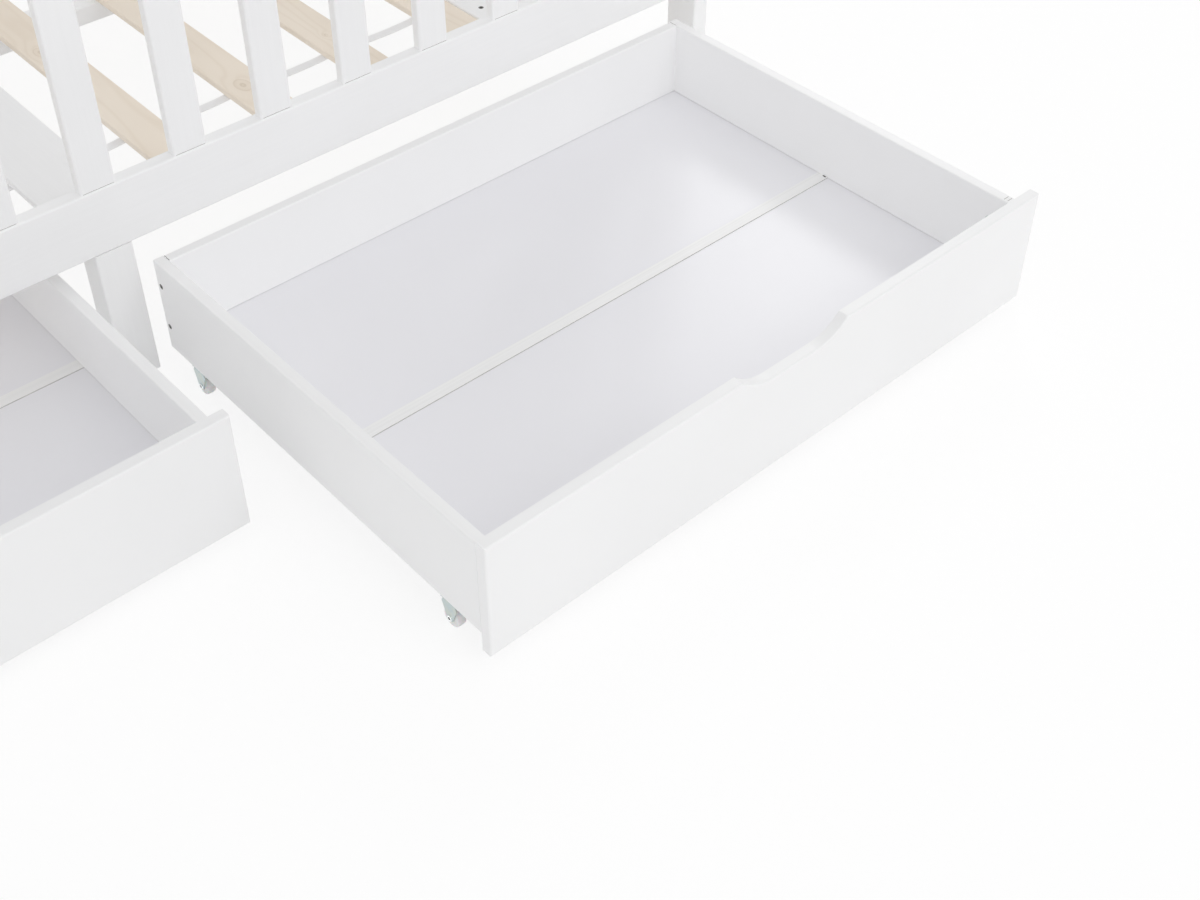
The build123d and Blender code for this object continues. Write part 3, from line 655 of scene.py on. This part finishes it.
for drawer in DRAWERS:
    lips, bores, screws = bmesh.new(), bmesh.new(), bmesh.new()
    for centre in wheel_centres(drawer):
        for side in (-1, 1):
            face = centre + Vector((side * (HEAD_OUT - LIP_SUNK), 0, 0))
            add_lip(lips, face, centre)
            # The bore's dark inside is painted shade: a thin disc of nearly black metal
            bore = face + Vector((side * BORE_OUT, 0, 0))
            add_rod(bores, bore, (1, 0, 0), LIP_OUT - LIP_RADIUS, BORE_THICK)
        for step in (-1, 1):
            screw_y = centre.y + step * PLATE_SCREW_APART / 2
            add_plate_screw(screws, Vector((centre.x, screw_y, PLATE_UNDER)))
    bmesh.ops.remove_doubles(lips, verts=lips.verts, dist=1e-7)
    finish_piece(f"{drawer}_rivet_lips", lips, rivet_bright, drawer)
    finish_piece(f"{drawer}_rivet_bore_shades", bores, recess_painted_shade, drawer)
    finish_piece(f"{drawer}_plate_screws", screws, zinc, drawer)

# %% [markdown]
# ## Cross recesses, in painted shade
# A countersunk wood screw has a cross in its head. It isn't cut into the head, because the meshes
# of the imported model stay as they are. Two thin crossed blocks of nearly black metal, a hair
# proud of the head, are painted shade: they read as the dark recess at any distance.

# %% Crosses in the screw heads
CROSS_LONG = 4.2 * MM
CROSS_WIDE = 0.9 * MM
CROSS_THICK = 0.12 * MM
SCREW_HEAD = 3.8 * MM


def add_cross(shape, centre, axis):
    """The painted shade of a cross recess on a head whose face looks along axis 0, 1 or 2."""
    first, second = [i for i in range(3) if i != axis]
    for long_way, short_way in ((first, second), (second, first)):
        size = [0.0, 0.0, 0.0]
        size[axis], size[long_way], size[short_way] = CROSS_THICK, CROSS_LONG, CROSS_WIDE
        add_block(shape, centre, size)


for drawer in DRAWERS:
    low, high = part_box(f"{drawer}_screws")
    crosses = bmesh.new()
    for x in (low.x, high.x):
        for z in (low.z + SCREW_HEAD, high.z - SCREW_HEAD):
            add_cross(crosses, Vector((x, (low.y + high.y) / 2, z)), 0)
    finish_piece(f"{drawer}_screw_cross_shades", crosses, recess_painted_shade, drawer)

# The tie board's screws: how far in from the rail's outer face, and how far from each other
TIE_SCREW_IN = (20.0 + 89.0) * MM
TIE_SCREW_APART = 50.0 * MM
bed_low_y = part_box("front_side_rail")[0].y
bed_high_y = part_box("back_side_rail")[1].y
tie_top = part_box("tie_boards")[1].z
# Painted shade for the cross recesses of the tie boards' screws
crosses = bmesh.new()
for tie_x in (-TIE_PLACE, TIE_PLACE):
    for step in (-0.5, 0.5):
        for y in (bed_low_y + TIE_SCREW_IN, bed_high_y - TIE_SCREW_IN):
            add_cross(crosses, Vector((tie_x + step * TIE_SCREW_APART, y, tie_top)), 2)
finish_piece("tie_board_screw_cross_shades", crosses, recess_painted_shade, "bed_frame")

# %% [markdown]
# ## Open joints
# Where two painted boards meet, the paint cracks to a hairline. A gap that fine would be lost
# in the model, yet the eye finds the boards by it. So each joint that shows gets a thin rod in
# the tone of its shadow: at the feet and heads of the upright slats, at the drawers' back
# corners, and along both edges of the joining strip, where the back one is fainter.

# %% Hairlines in the joints
def joint_shadow(name, dark, pale):
    """The dim inside of a joint, uneven along its length."""
    material, tree, shader = new_finish(name, {"Specular IOR Level": 0.1, "Roughness": 0.8})
    uneven = noise(tree, place(tree), 60.0, 2.0)
    two_tones(tree, shader, uneven, 0.3, dark, 0.7, pale)
    return material


joint_dark = joint_shadow("joint_shadow", (0.20, 0.19, 0.18), (0.30, 0.29, 0.27))
joint_pale = joint_shadow("faint_joint_shadow", (0.46, 0.45, 0.44), (0.56, 0.55, 0.53))
UPRIGHT_PITCH = 123.8 * MM
UPRIGHT_FLAT = 40.0 * MM
UPRIGHTS_EACH_WAY = 7
UPRIGHT_LINE = 0.25 * MM
CORNER_LINE = 0.35 * MM
CORNER_LINE_IN = 1.5 * MM
CORNER_LINE_SUNK = 0.05 * MM
STRIP_LINE_DOWN = 0.7 * MM
STRIP_LINE_OUT = 0.1 * MM
STRIP_LINE_FRONT = 0.22 * MM
STRIP_LINE_BACK = 0.18 * MM


def add_line(shape, start, end, radius):
    """A thin rod from start to end, added to shape."""
    start, end = Vector(start), Vector(end)
    add_rod(shape, (start + end) / 2, end - start, radius, (end - start).length, segments=6)


upright_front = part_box("front_upright_slats")[0].y
foot_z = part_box("front_side_rail")[1].z
head_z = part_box("front_top_rail")[0].z
hairlines = bmesh.new()
for n in range(-UPRIGHTS_EACH_WAY, UPRIGHTS_EACH_WAY + 1):
    for z in (foot_z, head_z):
        left = (n * UPRIGHT_PITCH - UPRIGHT_FLAT / 2, upright_front, z)
        right = (n * UPRIGHT_PITCH + UPRIGHT_FLAT / 2, upright_front, z)
        add_line(hairlines, left, right, UPRIGHT_LINE)
finish_piece("upright_hairlines", hairlines, joint_dark, "bed_frame")

for drawer in DRAWERS:
    back_low, back_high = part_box(f"{drawer}_back")
    strip_low, strip_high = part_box(f"{drawer}_bottom_strip")
    hairlines = bmesh.new()
    line_z = back_high.z - CORNER_LINE_SUNK
    for x in (back_low.x, back_high.x):
        near = (x, back_low.y + CORNER_LINE_IN, line_z)
        far = (x, back_high.y - CORNER_LINE_IN, line_z)
        add_line(hairlines, near, far, CORNER_LINE)
    finish_piece(f"{drawer}_hairlines", hairlines, joint_dark, drawer)

    lip_z = strip_high.z - STRIP_LINE_DOWN
    for edge, y, radius, finish in (
        ("front", strip_low.y - STRIP_LINE_OUT, STRIP_LINE_FRONT, joint_dark),
        ("back", strip_high.y + STRIP_LINE_OUT, STRIP_LINE_BACK, joint_pale),
    ):
        strip_line = bmesh.new()
        add_line(strip_line, (strip_low.x, y, lip_z), (strip_high.x, y, lip_z), radius)
        finish_piece(f"{drawer}_strip_{edge}_line", strip_line, finish, drawer)

# %% [markdown]
# ## The fitting at one corner
# At the near right corner the side's top edge shows a small white plug between two fine gaps. It
# is built as it looks: a rounded plug, a hair proud of the board, and two thin slips in a faint
# shadow tone, which are the painted shade of the gaps. The strip's open end shows as a dark spot
# at the wall: a sheet of nearly black metal that is painted shade.

# %% Corner plug, painted shade of the gaps and of the strip's open end
PLUG_IN = 8.0 * MM
PLUG_SIZE = (8.0 * MM, 3.6 * MM, 0.5 * MM)
PLUG_EDGE = 0.2 * MM
SLOT_STEP = 2.7 * MM
SLOT_SUNK = 0.02 * MM
SLOT_SIZE = (9.0 * MM, 1.1 * MM, 0.1 * MM)
SPOT_IN = 5.0 * MM
SPOT_SIZE = (2.2 * MM, 5.5 * MM, 0.1 * MM)

side_low, side_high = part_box("right_drawer_side_right")
strip_low, strip_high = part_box("right_drawer_bottom_strip")
plug = bmesh.new()
plug_middle = Vector(((side_low.x + side_high.x) / 2, side_low.y + PLUG_IN, side_high.z))
plug_verts = add_block(plug, plug_middle, PLUG_SIZE)
bmesh.ops.bevel(
    plug,
    geom=edges_of(plug_verts),
    offset=PLUG_EDGE,
    segments=2,
    affect="EDGES",
    profile=0.5,
    material=-1,
)
finish_piece("corner_plug", plug, strip_white, "right_drawer")

# Painted shade: thin slips in a faint shadow tone stand for the two gaps
slots = bmesh.new()
for step in (-1, 1):
    middle = plug_middle + Vector((0, step * SLOT_STEP, -SLOT_SUNK))
    add_block(slots, middle, SLOT_SIZE)
finish_piece("corner_gap_shades", slots, joint_pale, "right_drawer")

# Painted shade: a nearly black sheet for the dark open end of the strip
strip_end = bmesh.new()
spot = Vector((strip_high.x - SPOT_SIZE[0] / 2, strip_low.y + SPOT_IN, strip_high.z))
add_block(strip_end, spot, SPOT_SIZE)
finish_piece("strip_end_shade", strip_end, recess_painted_shade, "right_drawer")

# %% [markdown]
# ## Floor, light and background
# The bed stands on a plain white floor. What the camera sees of the floor is a paler white than
# what lights the bed from below, so that the background stays white and the soft shadow stays.
# A white studio has hardly a shadow, because light comes back from every wall. An even sky and
# two softboxes give the soft shading and the gloss: one stands in front, and one behind at the
# right makes the soft bright patch on the drawer's bottom. Wide suns without shadows stand for
# the light that the studio's walls throw back, one for each side. Real white walls would do
# the same, but they would stand in the way of every other view.


# %% Which rays see the white background
def background_rays(tree):
    """1 for rays from the camera, from a glossy surface or through glass, else 0."""
    path = add_node(tree, "ShaderNodeLightPath")
    camera_or_gloss = math(
        tree, "MAXIMUM", path.outputs["Is Camera Ray"], path.outputs["Is Glossy Ray"]
    )
    return math(tree, "MAXIMUM", camera_or_gloss, path.outputs["Is Transmission Ray"])


# %% Floor
FLOOR_HALF = 30.0
GLOW_SHARE = 0.82
WHITE = (1.0, 1.0, 1.0, 1.0)


def floor_finish():
    """Matt white that the camera and gloss see as white paper with a faint shadow."""
    material, tree, shader = new_finish(
        "white_floor", {"Specular IOR Level": 0.0, "Roughness": 1.0}
    )
    grain = noise(tree, place(tree), 6.0, 2.0)
    two_tones(tree, shader, grain, 0.3, (0.895, 0.895, 0.895), 0.7, (0.905, 0.905, 0.905))
    paper = add_node(tree, "ShaderNodeBsdfDiffuse", {"Color": WHITE})
    glow = add_node(tree, "ShaderNodeEmission", {"Color": WHITE, "Strength": 1.0})
    background = add_node(tree, "ShaderNodeMixShader", {0: GLOW_SHARE})
    tree.links.new(paper.outputs[0], background.inputs[1])
    tree.links.new(glow.outputs[0], background.inputs[2])
    choose = add_node(tree, "ShaderNodeMixShader", {0: background_rays(tree)})
    tree.links.new(shader.outputs[0], choose.inputs[1])
    tree.links.new(background.outputs[0], choose.inputs[2])
    tree.links.new(choose.outputs[0], tree.nodes["Material Output"].inputs["Surface"])
    return material


floor_shape = bmesh.new()
bmesh.ops.create_grid(floor_shape, x_segments=1, y_segments=1, size=FLOOR_HALF)
floor_mesh = bpy.data.meshes.new("floor")
floor_shape.to_mesh(floor_mesh)
floor_shape.free()
floor_mesh.materials.append(floor_finish())
floor = bpy.data.objects.new("floor", floor_mesh)
bpy.context.scene.collection.objects.link(floor)
print("floor of", 2 * FLOOR_HALF, "m each way")

# %% World and lamps
FILL_ANGLE = 90.0
SKY = 0.65


def white_world(sky):
    """White to the background's rays, and a plain sky of this strength for all others."""
    world = bpy.data.worlds.new("white_studio")
    world.use_nodes = True
    tree = world.node_tree
    background = tree.nodes["Background"]
    background.inputs["Color"].default_value = WHITE
    strength = fade(tree, background_rays(tree), 0.0, 1.0, sky, 1.0)
    tree.links.new(strength, background.inputs["Strength"])
    bpy.context.scene.world = world


def hang_lamp(light, location, aim):
    """Put a lamp in the scene at this location, looking along aim."""
    lamp = bpy.data.objects.new(light.name, light)
    lamp.location = location
    lamp.rotation_euler = Vector(aim).to_track_quat("-Z", "Y").to_euler()
    bpy.context.scene.collection.objects.link(lamp)
    print(light.name, "with power", round(light.energy, 2))


def softbox(name, location, target, size, power):
    """A square area lamp that looks at a target."""
    light = bpy.data.lights.new(name, "AREA")
    light.shape = "SQUARE"
    light.size = size
    light.energy = power
    hang_lamp(light, location, Vector(target) - Vector(location))


def fill(name, direction, power):
    """A wide sun without shadows: the light that bounces about a white studio."""
    light = bpy.data.lights.new(name, "SUN")
    light.energy = power
    light.angle = radians(FILL_ANGLE)
    light.use_shadow = False
    light.cycles.use_multiple_importance_sampling = False
    hang_lamp(light, (0.0, 0.0, 0.0), direction)


white_world(SKY)
softbox("front_softbox", (1.3, -3.6, 3.2), (0.2, 0.0, 0.2), size=3.0, power=36.0)
softbox("right_softbox", (3.38, 1.38, 2.70), (0.72, -0.70, 0.07), size=1.0, power=17.0)
for side, direction, power in (
    ("left", (1.0, 0.25, -0.15), 0.36),
    ("front", (0.1, 1.0, -0.25), 0.33),
    ("top", (0.0, 0.1, -1.0), 0.06),
    ("right", (-1.0, 0.0, 0.0), 0.20),
    ("back", (0.0, -1.0, 0.0), 0.22),
):
    fill(f"{side}_fill", direction, power)
bpy.context.scene.view_settings.view_transform = "Standard"
